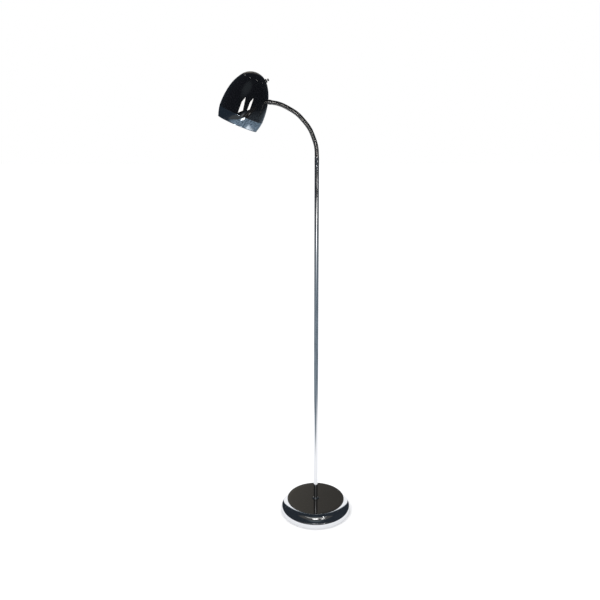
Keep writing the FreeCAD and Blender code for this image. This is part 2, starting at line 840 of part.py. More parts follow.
def make_lampholder():
    """Two-piece moulded holder with a clamp ring, its screw shell and its centre contact."""
    mouth = holder_mouth
    low_ring = ring_height
    bore = shell_radius + s.screw_shell_wall
    edge = s.holder_edge
    spigot_top = low_ring + s.holder_spigot
    # skirt: the lower moulding, with a spigot that goes up through the bracket's ring
    hang(turned("holder_skirt", [
        (bore, mouth), (s.holder_radius - edge, mouth), (s.holder_radius, mouth + edge),
        (s.holder_radius, low_ring), (holder_inner, low_ring), (holder_inner, spigot_top),
        (bore, spigot_top)]))
    # cap: the upper moulding, closed above the contacts
    socket = holder_inner + s.thread_gap
    top = ring_height + s.holder_rise
    ceiling = top - s.holder_wall
    side_top = low_ring + s.holder_side_height
    hang(turned("holder_cap", [
        (socket, ring_top), (s.holder_radius, ring_top), (s.holder_radius, side_top),
        (s.holder_crown_radius, top), (0, top), (0, ceiling),
        (s.holder_crown_radius - edge, ceiling), (holder_inner - edge, side_top - edge),
        (holder_inner - edge, side_top - 2 * edge), (socket, side_top - 2 * edge)]))
    hang(tube("holder_ring", s.holder_radius + s.thread_gap, s.clamp_ring_radius,
              low_ring - s.clamp_ring_height, low_ring))
    rim = s.contact_radius + s.screw_shell_inset
    shell_low = mouth + s.screw_shell_inset
    shell_high = shell_top + s.screw_shell_wall
    hang(turned("screw_shell", [
        (shell_radius, shell_low), (bore, shell_low), (bore, shell_high), (rim, shell_high),
        (rim, shell_top), (shell_radius, shell_top)]))
    post = s.contact_post_radius
    plate_high = contact_low + s.contact_plate_thickness
    hang(turned("centre_contact", [
        (0, contact_low), (s.contact_radius, contact_low), (s.contact_radius, plate_high),
        (post, plate_high), (post, ceiling), (0, ceiling)]))


def make_bulb():
    """Screw-cap bulb: blown pear glass cemented into the cap's shell, and the cap's contact."""
    tip = cap_low - s.bulb_length
    widest = tip + s.bulb_radius
    shoulder = widest + s.bulb_shoulder_height
    wall = s.glass_wall
    neck = s.cap_radius - s.cap_wall - s.thread_gap
    glass_top = cap_low + s.glass_in_cap
    hang(turned("bulb_glass", [
        (0, tip), Arc(s.bulb_radius, widest, s.bulb_radius, 1),
        Arc(s.bulb_shoulder_radius, shoulder, s.bulb_side_arc, 1),
        Arc(neck, cap_low, s.bulb_neck_arc, -1), (neck, glass_top), (neck - wall, glass_top),
        (neck - wall, cap_low), Arc(s.bulb_shoulder_radius - wall, shoulder, s.bulb_neck_arc, 1),
        Arc(s.bulb_radius - wall, widest, s.bulb_side_arc, -1),
        Arc(0, tip + wall, s.bulb_radius - wall, -1)]))
    inner = s.cap_radius - s.cap_wall
    side_top = cap_top - s.cap_shoulder
    hang(turned("bulb_cap", [
        (inner, cap_low), (s.cap_radius, cap_low), (s.cap_radius, side_top),
        (s.contact_radius, cap_top), (0, cap_top), (0, cap_top - s.cap_wall),
        (s.contact_radius, cap_top - s.cap_wall), (inner, side_top)]))
    pip = s.contact_radius - s.holder_edge
    hang(turned("bulb_contact", [
        (0, cap_top), (pip, cap_top), (pip, contact_low), (0, contact_low)]))


# ---------------------------------------------------------------- switch

def beside_crown(body):
    """Puts a piece that was drawn on the switch's axis, with 0 at the shade's skin, in its place."""
    foot_x = mouth_x + switch_foot[0] * cosine(shade_tilt) + switch_foot[1] * sine(shade_tilt)
    foot_z = mouth_z - switch_foot[0] * sine(shade_tilt) + switch_foot[1] * cosine(shade_tilt)
    place(body, foot_x, foot_z, TILT_AXIS, 90 - s.switch_angle + shade_tilt)
    return body


def make_switch():
    """Rotary switch: can inside, threaded bushing and ring nut outside, and the turning key."""
    bore = s.stem_radius + s.running_gap
    thread = s.switch_bushing_radius + s.thread_gap
    inside = -(s.dome_wall + s.switch_seat)
    can_low = inside - s.switch_body_length
    pit = inside - s.switch_pit
    nut_low_here = s.seat_gap
    nut_high = nut_low_here + s.switch_nut_thickness
    bushing_top = nut_high + s.switch_bushing_overhang
    edge = s.disc_edge
    beside_crown(turned("switch_body", [
        (0, can_low), (s.switch_body_radius, can_low), (s.switch_body_radius, inside),
        (s.switch_bushing_radius, inside), (s.switch_bushing_radius, bushing_top),
        (bore, bushing_top), (bore, pit), (0, pit)]))
    beside_crown(turned("switch_nut", [
        (thread, nut_low_here), (s.switch_nut_radius, nut_low_here),
        (s.switch_nut_radius, nut_high - edge), (s.switch_nut_radius - edge, nut_high),
        (thread, nut_high)]))
    key_low = s.stem_length
    key_high = key_low + s.key_length
    root_high = key_low + s.key_root_height
    stem_top = key_low + s.key_socket
    beside_crown(turned("switch_stem", [
        (0, pit + s.running_gap), (s.stem_radius, pit + s.running_gap), (s.stem_radius, stem_top),
        (0, stem_top)]))
    body = new_body("switch_key")
    sketch = new_sketch(body, "paddle_outline")
    half = s.key_width / 2
    root = s.key_root_width / 2
    corner = s.key_corner
    draw_outline(sketch, [
        (root, key_low), (half, root_high), (half, key_high - corner),
        Arc(half - corner, key_high, corner, 1), (corner - half, key_high),
        Arc(-half, key_high - corner, corner, 1), (-half, root_high), (-root, key_low)])
    pad(body, sketch, s.key_thickness, "paddle", True)
    doc.recompute()
    socket = rod(body, "stem_socket", "Subtractive", s.stem_radius + s.thread_gap, s.key_socket,
                 0, key_low)
    body.Tip = socket
    beside_crown(body)


# ---------------------------------------------------------------- build and write

make_foot_pads()
make_base_plate()
make_plate_screws()
make_base_weight()
make_base_cover()
make_base_disc()
make_cord_bushing()
make_foot_collar()
make_pole_fixing()
make_pole()
make_ferrule()
for link in range(1, LINK_COUNT + 1):
    make_link(link)
make_neck_end()
make_shade_shell()
make_shade_band()
make_bracket()
make_lampholder()
make_bulb()
make_switch()
doc.recompute()

for thing in doc.Objects:
    if "Invalid" in thing.State or "Error" in thing.State:
        raise RuntimeError(thing.Name + " failed: " + str(thing.State))

os.makedirs("parts", exist_ok=True)
for part in parts:
    shape = part.Shape
    if shape.isNull() or not shape.isValid() or shape.Volume <= 0:
        raise RuntimeError(part.Label + " has no sound solid")
    shape.exportStep("parts/" + part.Label + ".step")
    print(part.Label, len(shape.Solids), "solid(s)", round(shape.Volume / 1000, 3), "cm3")
print(len(parts), "nodes; neck bends", round(neck_end_angle.value, 2), "degrees; shade tilted",
      round(shade_tilt.value, 2))
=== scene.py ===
# %% [markdown]
# # A gooseneck reading lamp
# The lamp's solids come ready from CAD, in metres, with the foot's centre at the origin. This script
# turns them into something that can be looked at: smooth skins where light runs over a surface, a
# ribbed neck, and a finish for every piece. Each skin but the hose rides on the CAD body it belongs to,
# so it moves when the neck moves.

# %% Load the frame
import json
import math

import bpy
from mathutils import Euler, Matrix, Vector


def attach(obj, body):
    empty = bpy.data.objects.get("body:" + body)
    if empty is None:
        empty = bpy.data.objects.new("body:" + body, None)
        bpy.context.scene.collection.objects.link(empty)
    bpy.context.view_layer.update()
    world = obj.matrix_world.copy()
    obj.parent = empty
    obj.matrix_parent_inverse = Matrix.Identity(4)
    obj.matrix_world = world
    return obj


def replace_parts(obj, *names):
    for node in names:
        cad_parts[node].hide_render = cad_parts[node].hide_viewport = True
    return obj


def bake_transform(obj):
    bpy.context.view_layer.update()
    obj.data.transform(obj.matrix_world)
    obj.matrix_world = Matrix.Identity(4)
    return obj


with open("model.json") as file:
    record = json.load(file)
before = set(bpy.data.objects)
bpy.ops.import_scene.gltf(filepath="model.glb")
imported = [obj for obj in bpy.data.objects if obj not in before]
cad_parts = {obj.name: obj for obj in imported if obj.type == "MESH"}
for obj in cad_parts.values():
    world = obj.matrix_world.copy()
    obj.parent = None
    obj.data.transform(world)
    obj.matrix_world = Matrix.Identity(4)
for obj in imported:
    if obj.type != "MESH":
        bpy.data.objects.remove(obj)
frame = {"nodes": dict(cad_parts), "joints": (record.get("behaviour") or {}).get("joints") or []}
nodes = frame["nodes"]
joints = {j["name"]: j for j in frame["joints"]}
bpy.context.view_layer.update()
MM = 0.001

# %% [markdown]
# ## Camera
# The photograph was taken from a little under two and a quarter metres away, from head height, looking
# down by 17 degrees. A long lens would make the foot's ellipse flatter, and a wide one would make it
# rounder, so the distance was found from that ellipse and from the pole's length together. A tiny roll
# about the lens's own axis leans the pole as the photograph does.

# %% Camera
CAMERA_PLACE = Vector((0, -2.202, 1.460))
LOOK_DOWN = math.radians(16.86)
LOOK_LEFT = math.radians(1.40)
ROLL = math.radians(-0.20)
LENS = 41.83

bpy.ops.object.camera_add()
camera = bpy.context.object
camera.name = "photo_camera"
camera.data.lens = LENS
camera.data.sensor_width = 36
turn = (Matrix.Rotation(LOOK_LEFT, 4, "Z") @ Matrix.Rotation(math.pi / 2 - LOOK_DOWN, 4, "X")
        @ Matrix.Rotation(ROLL, 4, "Z"))
camera.matrix_world = Matrix.Translation(CAMERA_PLACE) @ turn
bpy.context.scene.camera = camera
bpy.context.scene.view_settings.view_transform = "Standard"
print("camera", tuple(round(v, 3) for v in camera.location))

# %% [markdown]
# ## Writing finishes
# A material is a sheet of nodes. Two small classes keep the sheets short: Value wraps one output, so
# that sums can be written as sums, and Finish adds any node from its type, its settings and its inputs.
# Colours are mixed with Mix nodes, because a Math node would turn them grey.

# %% Value and Finish
class Value:
    """One output of a node; arithmetic on it adds Math nodes."""

    def __init__(self, finish, socket):
        self.finish = finish
        self.socket = socket

    def math(self, operation, *operands):
        return self.finish.node("ShaderNodeMath", {"operation": operation}, dict(enumerate(operands)))

    def __add__(self, other):
        return self.math("ADD", self, other)

    def __radd__(self, other):
        return self.math("ADD", other, self)

    def __sub__(self, other):
        return self.math("SUBTRACT", self, other)

    def __rsub__(self, other):
        return self.math("SUBTRACT", other, self)

    def __mul__(self, other):
        return self.math("MULTIPLY", self, other)

    def __rmul__(self, other):
        return self.math("MULTIPLY", other, self)

    def above(self, limit):
        return self.math("GREATER_THAN", self, limit)


class Finish:
    """A material's node sheet."""

    def __init__(self, name, material=None):
        self.material = material or bpy.data.materials.new(name)
        self.material.use_nodes = True
        self.sheet = self.material.node_tree
        self.sheet.nodes.clear()

    def node(self, kind, settings=None, sockets=None, out=0):
        made = self.sheet.nodes.new(kind)
        for name, setting in (settings or {}).items():
            setattr(made, name, setting)
        for name, given in (sockets or {}).items():
            if isinstance(given, Value):
                self.sheet.links.new(given.socket, made.inputs[name])
            else:
                made.inputs[name].default_value = given
        return Value(self, made.outputs[out])

    def places(self):
        return self.node("ShaderNodeTexCoord", out="Object")

    def along(self, axis):
        """The object coordinate along X, Y or Z, in metres."""
        return self.node("ShaderNodeSeparateXYZ", {}, {0: self.places()}, out=axis)

    def noise(self, scale, detail=3.0, roughness=0.5, stretch=(1, 1, 1)):
        moved = self.node("ShaderNodeMapping", {}, {"Vector": self.places(), "Scale": stretch})
        return self.node("ShaderNodeTexNoise", {}, {"Vector": moved, "Scale": scale, "Detail": detail,
                                                    "Roughness": roughness})

    def mix(self, share, first, second):
        return self.node("ShaderNodeMix", {"data_type": "RGBA"},
                         {0: share, 6: self.colour(first), 7: self.colour(second)}, out=2)

    def colour(self, given):
        return given if isinstance(given, Value) else (*given, 1.0)

    def bump(self, height, strength, distance):
        return self.node("ShaderNodeBump", {}, {"Height": height, "Strength": strength,
                                                "Distance": distance})

    def surface(self, **sockets):
        """The Principled shader and the output; names are written with _ for a space."""
        named = {name.replace("_", " "): given for name, given in sockets.items()}
        shader = self.node("ShaderNodeBsdfPrincipled", {}, named, out="BSDF")
        self.output(shader)
        return self.material

    def output(self, shader):
        end = self.sheet.nodes.new("ShaderNodeOutputMaterial")
        self.sheet.links.new(shader.socket, end.inputs["Surface"])


# %% [markdown]
# ## Chromed steel
# Chrome plate is a mirror that has been wiped many times. Its colour is a cool light grey. Its gloss
# changes a little from place to place with old fingerprints, and the tube below has faint draw lines
# along its length. Keeping the roughness low matters more than any pattern, because the reflections
# are what the eye reads.

# %% Chrome finishes
def chrome(name, tint, gloss, wander, lines=0.0):
    """Polished plate: gloss is its roughness, wander how far that changes, lines its draw marks."""
    finish = Finish(name)
    wiped = finish.noise(18.0, 4.0, 0.6)
    specks = finish.noise(900.0, 2.0)
    colour = finish.mix(wiped, tuple(0.96 * c for c in tint), tint)
    rough = gloss + wander * wiped
    sockets = {"Base_Color": colour, "Metallic": 1.0, "Roughness": rough}
    if lines:
        drawn = finish.noise(400.0, 2.0, 0.5, (1, 1, 0.01))
        sockets["Normal"] = finish.bump(drawn * 0.7 + specks * 0.3, lines, 0.00002)
    return finish.surface(**sockets)


foot_chrome = chrome("foot_chrome", (0.80, 0.81, 0.83), 0.05, 0.06)
pole_chrome = chrome("pole_chrome", (0.80, 0.81, 0.83), 0.04, 0.06, 0.05)
band_chrome = chrome("band_chrome", (0.62, 0.70, 0.78), 0.02, 0.05)

# %% [markdown]
# ## The gooseneck's plate
# The hose is wound from steel strip and wire, and only then plated, so dirt and grease stay in the
# grooves. Its colour is painted darker and warmer than the pole's: painted shade that stands in for the
# dark, brownish room the ribbed chrome mirrors. A wave of the coordinate along the neck would slide when
# the neck bends, so the grooves come from the shape, and the finish only adds a random grease tone.

# %% Neck finish
def neck_plate():
    finish = Finish("neck_plate")
    grease = finish.noise(60.0, 4.0, 0.6)
    scratches = finish.noise(700.0, 2.0)
    # The dark, warm colours are painted shade for the mirrored dark room; the grease noise only varies
    # them.
    colour = finish.mix(grease, (0.22, 0.21, 0.20), (0.34, 0.325, 0.31))
    return finish.surface(Base_Color=colour, Metallic=1.0, Roughness=0.34 + 0.10 * grease,
                          Normal=finish.bump(scratches, 0.05, 0.00002))


neck_finish = neck_plate()

# %% [markdown]
# ## Gloss black
# The shade and the disc in the foot are lacquered. Lacquer is a coat over a black ground: light comes
# back from the coat alone, so the ground is almost black and the coat does the work. Sprayed lacquer
# has a very soft waviness, called orange peel, and a few specks of dust.

# %% Lacquer finishes
def lacquer(name, ground, peel, dust, gleam):
    """Sprayed gloss coat: peel is its waviness, dust its share of dull specks, gleam its mirror."""
    finish = Finish(name)
    waves = finish.noise(220.0, 2.0, 0.4)
    dusty = finish.noise(1400.0, 1.0).above(0.72)
    colour = finish.mix(dusty * dust, ground, (0.06, 0.06, 0.06))
    return finish.surface(Base_Color=colour, Roughness=0.03 + 0.10 * dusty * dust,
                          Specular_IOR_Level=gleam, Coat_Weight=0.9, Coat_Roughness=0.02,
                          Normal=finish.bump(waves, peel, 0.00002))


shade_lacquer = lacquer("shade_lacquer", (0.004, 0.004, 0.005), 0.06, 0.3, 0.9)
disc_lacquer = lacquer("disc_lacquer", (0.010, 0.009, 0.008), 0.03, 0.7, 0.4)

# %% [markdown]
# ## Plain workshop finishes
# Out of sight there is zinc-plated steel, cast iron, rubber, nylon and moulded plastic. Each has one
# thing that gives it away: the zinc's cloudy bloom, the iron's sand-cast pits, the rubber's dull skin
# with dust, and the moulding's fine spark-eroded grain.

# %% Workshop finishes
def zinc():
    finish = Finish("zinc_plate")
    bloom = finish.noise(90.0, 4.0, 0.6)
    colour = finish.mix(bloom, (0.42, 0.43, 0.45), (0.62, 0.61, 0.56))
    return finish.surface(Base_Color=colour, Metallic=1.0, Roughness=0.28 + 0.2 * bloom,
                          Normal=finish.bump(finish.noise(600.0), 0.08, 0.00003))


def grained(name, dark, light, scale, roughness, depth, metallic=0.0):
    """A dull finish whose grain shows in colour, gloss and relief."""
    finish = Finish(name)
    grain = finish.noise(scale, 4.0, 0.65)
    worn = finish.noise(scale * 0.08, 3.0)
    colour = finish.mix(worn * 0.5 + grain * 0.5, dark, light)
    return finish.surface(Base_Color=colour, Metallic=metallic, Roughness=roughness + 0.15 * worn,
                          Normal=finish.bump(grain, 0.3, depth))


zinc_plate = zinc()
cast_iron = grained("cast_iron", (0.05, 0.05, 0.05), (0.12, 0.115, 0.11), 350.0, 0.65, 0.0003, 0.6)
pad_rubber = grained("pad_rubber", (0.012, 0.012, 0.012), (0.045, 0.044, 0.042), 900.0, 0.75, 0.0001)
black_nylon = grained("black_nylon", (0.014, 0.014, 0.014), (0.03, 0.03, 0.03), 1200.0, 0.45, 0.00004)
holder_plastic = grained("holder_plastic", (0.018, 0.018, 0.018), (0.032, 0.032, 0.031), 1500.0, 0.35,
                         0.00003)
brass = grained("contact_brass", (0.55, 0.40, 0.17), (0.78, 0.60, 0.30), 500.0, 0.22, 0.00002, 1.0)
cap_metal = grained("cap_metal", (0.62, 0.62, 0.61), (0.80, 0.80, 0.79), 700.0, 0.25, 0.00002, 1.0)
key_black = grained("key_black", (0.012, 0.012, 0.012), (0.028, 0.028, 0.027), 900.0, 0.4, 0.00002)
dark_steel = grained("dark_steel", (0.07, 0.07, 0.075), (0.15, 0.15, 0.15), 800.0, 0.25, 0.00002, 1.0)
white_lining = grained("white_lining", (0.76, 0.75, 0.72), (0.86, 0.85, 0.83), 500.0, 0.35, 0.00002)


# %% [markdown]
# ## Frosted glass
# A pearl bulb is etched inside, so its outside is smooth and the light is scattered behind it. A
# rough transmission with a white ground gives that look, and costs less than glass with scattering.

# %% Bulb glass
def pearl_glass():
    finish = Finish("pearl_glass")
    etch = finish.noise(400.0, 3.0)
    colour = finish.mix(etch, (0.90, 0.90, 0.88), (0.97, 0.97, 0.96))
    return finish.surface(Base_Color=colour, Roughness=0.42 + 0.1 * etch, Transmission_Weight=0.45,
                          IOR=1.48, Coat_Weight=0.5, Coat_Roughness=0.03)


bulb_pearl = pearl_glass()


# %% Put the finishes on the CAD nodes
def wear(piece, material):
    """Gives a piece one material in place of what it has."""
    piece.data.materials.clear()
    piece.data.materials.append(material)
    return piece


cad_finishes = {
    "foot_pads": pad_rubber, "base_plate": zinc_plate, "plate_screws": zinc_plate,
    "base_weight": cast_iron, "base_cover": foot_chrome, "base_disc": disc_lacquer,
    "cord_bushing": black_nylon, "cord_bushing_nut": black_nylon, "foot_collar": foot_chrome,
    "pole_stud": zinc_plate, "pole_washer": zinc_plate, "pole_nut": zinc_plate,
    "pole_foot_insert": zinc_plate, "pole_lower": pole_chrome, "pole_upper": pole_chrome,
    "pole_coupler": zinc_plate, "neck_ferrule": pole_chrome, "neck_collar": dark_steel,
    "neck_stud": zinc_plate, "neck_washer": zinc_plate, "neck_nut": zinc_plate,
    "shade_shell": shade_lacquer, "shade_band": band_chrome, "holder_bracket": zinc_plate,
    "holder_skirt": holder_plastic, "holder_cap": holder_plastic, "holder_ring": holder_plastic,
    "screw_shell": brass, "centre_contact": brass, "bulb_glass": bulb_pearl, "bulb_cap": cap_metal,
    "bulb_contact": brass, "switch_body": holder_plastic, "switch_nut": dark_steel,
    "switch_stem": zinc_plate, "switch_key": key_black}
for name, node in nodes.items():
    wear(node, cad_finishes.get(name, neck_finish))
print("finishes", len(bpy.data.materials))

# %% [markdown]
# ## Turning shapes on a lathe
# Nearly everything here is round, and most of it was spun or turned on a lathe. The lathe below starts
# from a ring of points and pulls it along an outline, ring by ring, with extrude and resize, as one would
# by hand in edit mode. The CAD solids have the same outlines, but their facets are too coarse for a
# mirror, where every flat shows. Rings at close steps with smooth shading give clean reflections.

# %% The lathe
def clear_selection():
    if bpy.context.object and bpy.context.object.mode != "OBJECT":
        bpy.ops.object.mode_set(mode="OBJECT")
    bpy.ops.object.select_all(action="DESELECT")


def settle(piece, sharp=32):
    """Merges doubles, points the faces outwards, and smooths what is not a real edge."""
    clear_selection()
    bpy.context.view_layer.objects.active = piece
    piece.select_set(True)
    bpy.ops.object.mode_set(mode="EDIT")
    bpy.ops.mesh.select_all(action="SELECT")
    bpy.ops.mesh.remove_doubles(threshold=0.000005)
    bpy.ops.mesh.normals_make_consistent(inside=False)
    bpy.ops.object.mode_set(mode="OBJECT")
    bpy.ops.object.transform_apply(location=True, rotation=True, scale=True)
    bpy.ops.object.shade_smooth_by_angle(angle=math.radians(sharp))
    return piece


def lathe(name, outline, material, segments=128, closed=True, sharp=32):
    """Pulls a ring of points along an outline of (radius, height) in millimetres."""
    clear_selection()
    way = list(outline) + ([outline[0]] if closed else [])
    way = [(max(radius, 0.002), height) for radius, height in way]
    radius, height = way[0]
    bpy.ops.mesh.primitive_circle_add(vertices=segments, radius=radius * MM,
                                      location=(0, 0, height * MM), fill_type="NOTHING")
    piece = bpy.context.object
    piece.name = name
    bpy.ops.object.transform_apply(location=True, rotation=True, scale=True)
    bpy.ops.object.mode_set(mode="EDIT")
    bpy.ops.mesh.select_all(action="SELECT")
    for wider, higher in way[1:]:
        step = (0, 0, (higher - height) * MM)
        bpy.ops.mesh.extrude_edges_move(TRANSFORM_OT_translate={"value": step})
        grow = wider / radius
        bpy.ops.transform.resize(value=(grow, grow, 1), center_override=(0, 0, higher * MM))
        radius, height = wider, higher
    wear(piece, material)
    return settle(piece, sharp)


def bow(start, end, radius, side, steps):
    """Points after start along an arc to end; side is +1 where it bulges to the right of the way."""
    a, b = Vector(start), Vector(end)
    chord = b - a
    rise = radius - math.sqrt(max(radius * radius - chord.length_squared / 4, 0))
    right = Vector((chord.y, -chord.x)).normalized()
    centre = (a + b) / 2 - right * side * (radius - rise)
    first = math.atan2(a.y - centre.y, a.x - centre.x)
    sweep = math.remainder(math.atan2(b.y - centre.y, b.x - centre.x) - first, 2 * math.pi)
    return [(centre.x + radius * math.cos(first + sweep * k / steps),
             centre.y + radius * math.sin(first + sweep * k / steps)) for k in range(1, steps + 1)]


# %% [markdown]
# ## The foot
# The cover is one spun sheet: a rim that leans in a little, a rounded shoulder, a hollowed wall and a
# narrow bead round the disc. Its shading is the whole look of the foot. The rim mirrors the white floor
# and the wall above it mirrors the dark room, so the border between them must be crisp and even. The
# disc has a polished edge, and a hairline gap separates it from the bead.

# %% Cover, disc and collar of the foot
STUD_HOLE = 5.3
PAN_UNDERSIDE, PAN_FLOOR, DISC_TOP = 42.2, 43.4, 46.4
DISC_RADIUS = 99.6
WALL_HOLLOW = 45.0
RIM_TOP, WALL_FOOT, WALL_TOP = (122.9, 16.5), (120.6, 21.4), (101.7, 45.6)
WALL_FOOT_INSIDE = (119.4, 20.8)
cover_outline = [(123.8, 2.0), (124.7, 2.0), (125.0, 2.3), RIM_TOP]
cover_outline += bow(RIM_TOP, WALL_FOOT, 10.6, 1, 6)
cover_outline += bow(WALL_FOOT, WALL_TOP, WALL_HOLLOW, -1, 18)
cover_outline += bow(WALL_TOP, (99.9, DISC_TOP), 1.12, 1, 6)
cover_outline += [(99.9, PAN_FLOOR), (STUD_HOLE, PAN_FLOOR), (STUD_HOLE, PAN_UNDERSIDE),
                  (99.6, PAN_UNDERSIDE)]
cover_outline += bow((99.6, PAN_UNDERSIDE), WALL_FOOT_INSIDE, WALL_HOLLOW, 1, 12)
cover_outline += bow(WALL_FOOT_INSIDE, (121.7, 16.5), 9.4, -1, 4)
cover_skin = lathe("cover_skin", cover_outline, foot_chrome, 192)
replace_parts(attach(cover_skin, "stand"), "base_cover")

disc_outline = [(STUD_HOLE, PAN_FLOOR), (DISC_RADIUS, PAN_FLOOR), (DISC_RADIUS, 45.9)]
disc_outline += bow((DISC_RADIUS, 45.9), (DISC_RADIUS - 0.5, DISC_TOP), 0.5, 1, 5)
disc_outline += [(DISC_RADIUS - 12, DISC_TOP), (50, DISC_TOP), (12, DISC_TOP), (STUD_HOLE, DISC_TOP)]
disc_skin = lathe("disc_skin", disc_outline, disc_lacquer, 192)
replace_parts(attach(disc_skin, "stand"), "base_disc")

POLE_FOOT = 47.6
collar_outline = [(STUD_HOLE, DISC_TOP), (11.2, DISC_TOP), (11.5, 46.7), (11.5, 48.0)]
collar_outline += bow((11.5, 48.0), (8.4, 50.9), 4.5, 1, 8)
collar_outline += [(7.2, 50.9), (7.2, POLE_FOOT), (STUD_HOLE, POLE_FOOT)]
collar_skin = lathe("collar_skin", collar_outline, foot_chrome, 96)
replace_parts(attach(collar_skin, "stand"), "foot_collar")

# %% [markdown]
# ## The pole
# Two tubes meet at a seam a little under half way up. Each end of a cut tube has a small broken edge,
# and where two such edges meet there is a fine dark line. The fitting at the top is as wide as the tube,
# with a groove turned at each end.

# %% Pole and ferrule
POLE_RADIUS, POLE_BORE = 7.0, 5.9
POLE_SEAM, POLE_TOP = 640.0, 1229.0
BROKEN_EDGE = 0.25


def tube_skin(name, low, high, steps):
    """A chromed tube with broken edges; the steps along it keep its long faces well shaped."""
    edge = BROKEN_EDGE
    outside = [(POLE_RADIUS, low + edge + (high - low - 2 * edge) * k / steps)
               for k in range(steps + 1)]
    outline = [(POLE_BORE, low), (POLE_RADIUS - edge, low)] + outside
    outline += [(POLE_RADIUS - edge, high), (POLE_BORE, high)]
    piece = lathe(name, outline, pole_chrome, 64)
    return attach(piece, "stand")


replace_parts(tube_skin("pole_lower_skin", POLE_FOOT, POLE_SEAM, 12), "pole_lower")
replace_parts(tube_skin("pole_upper_skin", POLE_SEAM, POLE_TOP, 12), "pole_upper")

ferrule_outline = [(3.0, 1213.0), (POLE_BORE, 1213.0), (POLE_BORE, POLE_TOP), (6.5, POLE_TOP),
                   (6.5, 1229.5), (POLE_RADIUS, 1230.0), (POLE_RADIUS, 1239.0),
                   (POLE_RADIUS, 1248.0), (POLE_RADIUS, 1254.6)]
ferrule_outline += bow((POLE_RADIUS, 1254.6), (6.5, 1256.5), 2.4, 1, 4)
ferrule_outline += [(POLE_BORE, 1257.0), (3.9, 1260.7), (3.0, 1260.7)]
ferrule_skin = lathe("ferrule_skin", ferrule_outline, pole_chrome, 64)
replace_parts(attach(ferrule_skin, "stand"), "neck_ferrule")

# %% [markdown]
# ## The gooseneck
# The real hose is a coil of round wire with a three-sided wire wound into its groove: about one hundred
# round ribs with sharp valleys between them. One length of eight ribs is turned straight, then bent by a
# Curve modifier along the neck's line, which runs through the twelve hinges of the CAD. Each length
# reaches from the middle of one link to the middle of the next. One fault is left: with both bends at
# their lowest limit at once, the hose shows a break below the shade.

# %% The neck's line
clear_selection()
hinges = [Vector(j["pos_m"]) for n, j in sorted(joints.items(), key=lambda item: item[0][-2:])
          if n.startswith("neck_")]
LINK_PITCH = (hinges[1] - hinges[0]).length
neck_end_direction = (hinges[-1] - hinges[-2]).normalized()
neck_line = [hinges[0] - Vector((0, 0, 0.012))] + hinges
bend_axis = Vector((0, -1, 0))
last_lean = Matrix.Rotation(math.radians(10.2), 3, bend_axis) @ neck_end_direction
neck_line += [hinges[-1] + last_lean * LINK_PITCH * 0.5, hinges[-1] + last_lean * LINK_PITCH,
              hinges[-1] + last_lean * LINK_PITCH * 1.2]
bpy.ops.curve.primitive_nurbs_path_add()
route = bpy.context.object
route.name = "neck_route"
line = route.data
line.splines.clear()
spline = line.splines.new("NURBS")
spline.points.add(len(neck_line) - 1)
for point, place in zip(spline.points, neck_line):
    point.co = (*place, 1.0)
spline.order_u = 4
spline.use_endpoint_u = True
spline.resolution_u = 24
line.dimensions = "3D"
line.twist_mode = "MINIMUM"
line_mesh = bpy.data.meshes.new_from_object(route)
steps = [v.co.copy() for v in line_mesh.vertices]
reach = [0.0]
for before, after in zip(steps, steps[1:]):
    reach.append(reach[-1] + (after - before).length)
bpy.data.meshes.remove(line_mesh)
print("neck line", round(reach[-1] / MM, 1), "mm")


def reach_of(place):
    """How far along the neck's line the point nearest to place lies, in metres."""
    near = min(range(len(steps)), key=lambda k: (steps[k] - place).length_squared)
    return reach[near]


def at_reach(distance):
    near = min(range(len(reach)), key=lambda k: abs(reach[k] - distance))
    return steps[near]


# %% Ribbed lengths of hose
RIBS_PER_LENGTH = 8
RIB_CREST = 6.75
RIB_VALLEY = 6.1
middles = [reach_of((a + b) / 2) for a, b in zip(hinges, hinges[1:])]
middles.append(reach_of(hinges[-1] + last_lean * LINK_PITCH * 0.5))
hose_end = reach_of(hinges[-1] + last_lean * (LINK_PITCH + 0.0005))


def hose_length(number, low, high, ribs):
    """Ribs between two distances along the neck's line, bent to follow it."""
    pitch = (high - low) / MM / ribs
    outline = [(RIB_VALLEY, low / MM)]
    for k in range(ribs):
        foot = low / MM + pitch * k
        for share in (0.12, 0.3, 0.5, 0.7, 0.88, 1.0):
            swell = math.sin(math.pi * share) ** 0.5 if share < 1 else 0.0
            outline.append((RIB_VALLEY + (RIB_CREST - RIB_VALLEY) * swell, foot + pitch * share))
    piece = lathe("hose_%02d" % number, outline, neck_finish, 40, closed=False, sharp=60)
    bend = piece.modifiers.new("follow_line", "CURVE")
    bend.object = route
    bend.deform_axis = "POS_Z"
    clear_selection()
    bpy.context.view_layer.objects.active = piece
    piece.select_set(True)
    bpy.ops.object.modifier_apply(modifier=bend.name)
    return piece


LENGTHS = len(hinges)
FIRST_RIBS = 5
pitch = (middles[1] - middles[0]) / RIBS_PER_LENGTH
for number in range(1, LENGTHS + 1):
    high = middles[number - 1]
    low = middles[number - 2] if number > 1 else high - FIRST_RIBS * pitch
    ribs = RIBS_PER_LENGTH if number > 1 else FIRST_RIBS
    tail = max(round((hose_end - high) / pitch), 1) if number == LENGTHS else 0
    piece = hose_length(number, low, high + tail * pitch, ribs + tail)
    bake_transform(piece)
    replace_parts(piece, "neck_link_%02d" % number)
print("hose pitch", round(pitch / MM, 3), "mm, ends at", tuple(round(v, 4) for v in at_reach(hose_end)))
clear_selection()
bpy.data.objects.remove(route)

# %% [markdown]
# ## The shade
# The dome is spun from sheet, and its outline is three arcs that run into each other: a long side, a
# rounder shoulder and the crown. It ends in a crease over the chromed mouth band. The outline is drawn
# upright about the shade's own axis and then tilted into place. A ring of twelve vents goes through the
# crown. They are cut with a Boolean, because a punched hole has a sharp edge and shows the wall.

